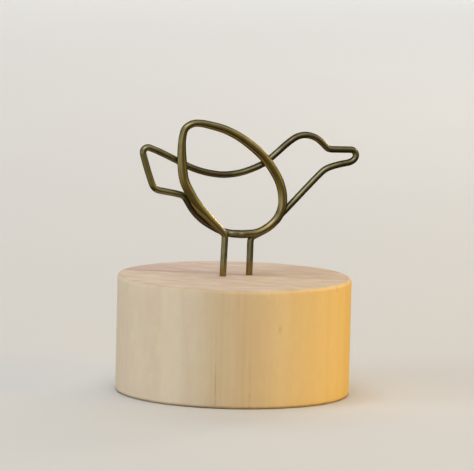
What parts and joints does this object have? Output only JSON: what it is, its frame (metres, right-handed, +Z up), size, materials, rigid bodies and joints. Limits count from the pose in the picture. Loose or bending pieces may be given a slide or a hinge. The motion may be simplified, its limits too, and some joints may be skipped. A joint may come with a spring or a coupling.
{
  "type": "wooden block photo holder",
  "caption": "Round wooden block with a bent-wire bird standing on it; the bird's egg-shaped front loop springs against its wing bar to grip a photo or card.",
  "frame": {"origin": "centre of the block's round underside, which stands on the table", "axes": "+Z up, along the block's axis; +X along the bird towards its beak; -Y is the front, where the clip loop lies, and +Y the back"},
  "size_m": [0.0632, 0.06, 0.0704],
  "materials": {
    "wood": "bare pale wood, sanded, upright grain",
    "bronze_wire": "antique bronze, satin"
  },
  "bodies": {
    "stand": {"wooden_block": "wood", "rear_leg": "bronze_wire", "bird_outline": "bronze_wire"},
    "loop": {"clip_loop": "bronze_wire"}
  },
  "joints": [
    {"name": "clip_open", "type": "hinge", "parent": "stand", "child": "loop", "pos_m": [0, -0.0008, 0.04065], "axis": [1, 0, 0], "range_deg": [0, 4], "stiffness_Nm_per_rad": 0.6, "springref_deg": -2.86}
  ]
}
